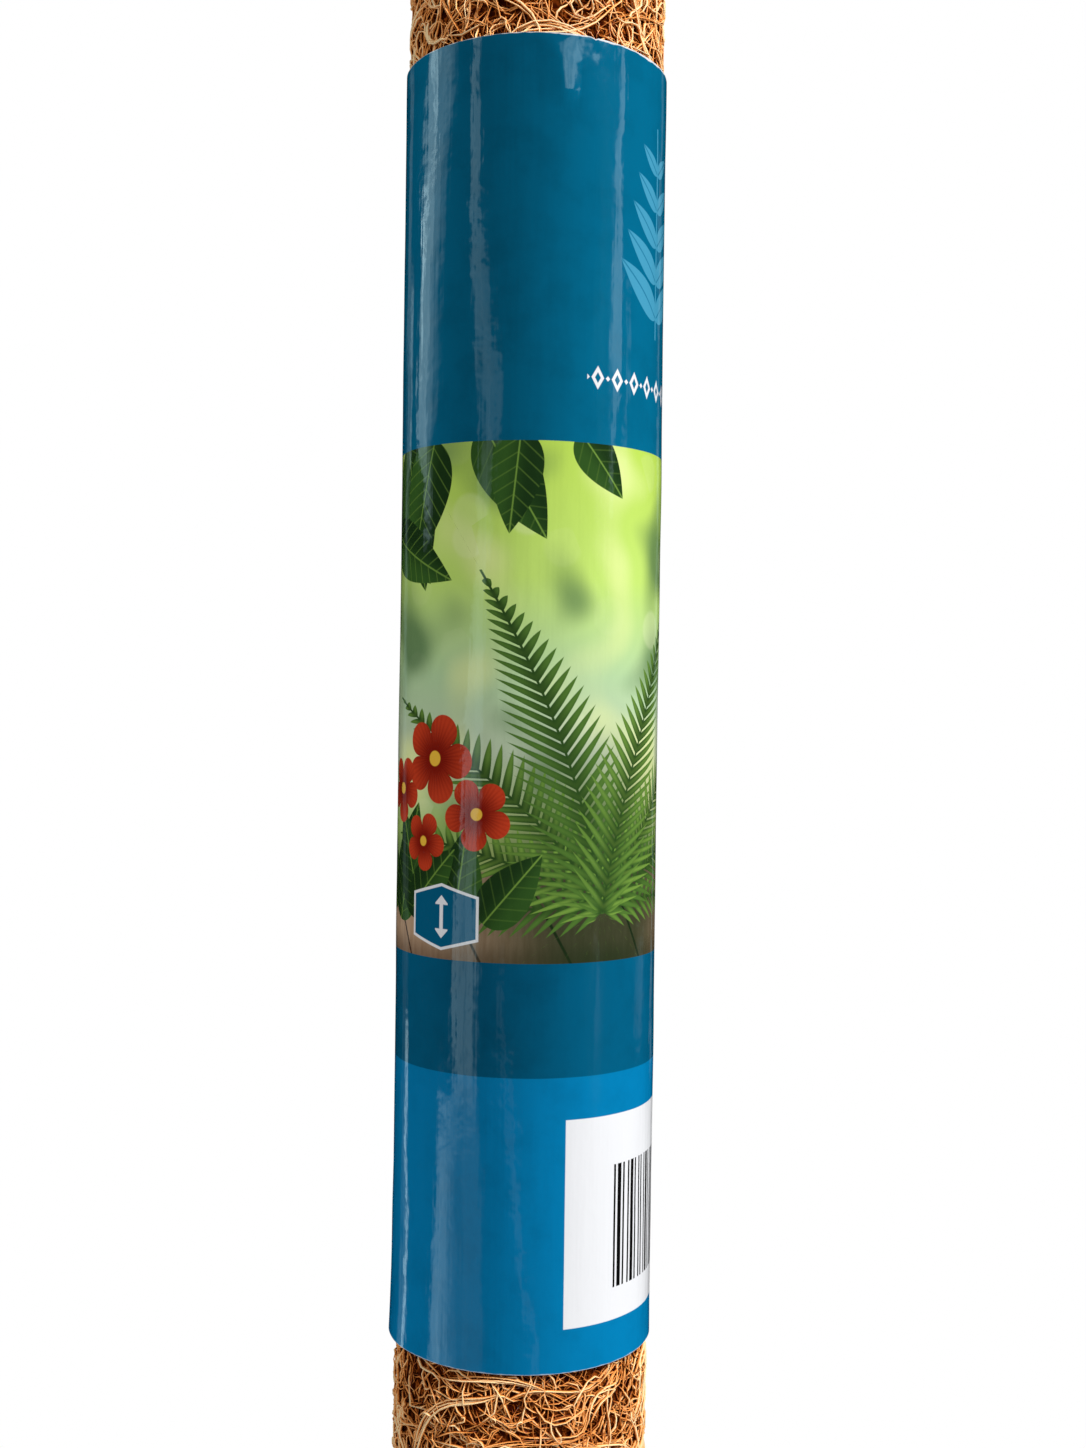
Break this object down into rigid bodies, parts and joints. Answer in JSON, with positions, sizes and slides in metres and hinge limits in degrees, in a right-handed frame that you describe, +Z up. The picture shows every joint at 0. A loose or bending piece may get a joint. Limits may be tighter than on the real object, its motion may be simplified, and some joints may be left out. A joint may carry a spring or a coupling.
{
  "type": "moss pole",
  "caption": "Extendable coir moss pole for climbing plants: coir-wrapped sections plugged together on a wooden stake, with a pointed ground stake and a sliding printed sleeve.",
  "frame": {"origin": "on the pole's axis at the soil line, the lower end of the coir", "axes": "+Z up along the pole, -Y the side that the sleeve's print faces, seams of the coir and of the sleeve at +Y"},
  "size_m": [0.0508, 0.0511, 0.8128],
  "materials": {
    "coir_mat": "rough bonded coconut fibre, golden tan over dark brown",
    "coir_filler": "loose coconut fibre, dark brown",
    "core_tube": "satin extruded plastic pipe",
    "stake": "raw sanded dowel",
    "stop_pin": "plain steel pin",
    "sleeve": "gloss laminated print, blue and green"
  },
  "bodies": {
    "lower_section": {"lower_core_tube": "core_tube", "lower_stop_pin": "stop_pin", "lower_coir_filler": "coir_filler", "lower_coir_mat": "coir_mat", "ground_stake": "stake"},
    "joining_stake": {"connecting_stake": "stake"},
    "upper_section": {"upper_core_tube": "core_tube", "upper_stop_pin": "stop_pin", "upper_coir_filler": "coir_filler", "upper_coir_mat": "coir_mat"},
    "sleeve": {"printed_sleeve": "sleeve"}
  },
  "joints": [
    {"name": "stake_lift", "type": "slide", "parent": "lower_section", "child": "joining_stake", "axis": [0, 0, 1], "range_m": [0, 0.12]},
    {"name": "upper_turn", "type": "hinge", "parent": "joining_stake", "child": "upper_section", "pos_m": [0, 0, 0.4], "axis": [0, 0, 1], "continuous": true},
    {"name": "sleeve_slide", "type": "slide", "parent": "lower_section", "child": "sleeve", "axis": [0, 0, 1], "range_m": [-0.225, 0.475]}
  ]
}
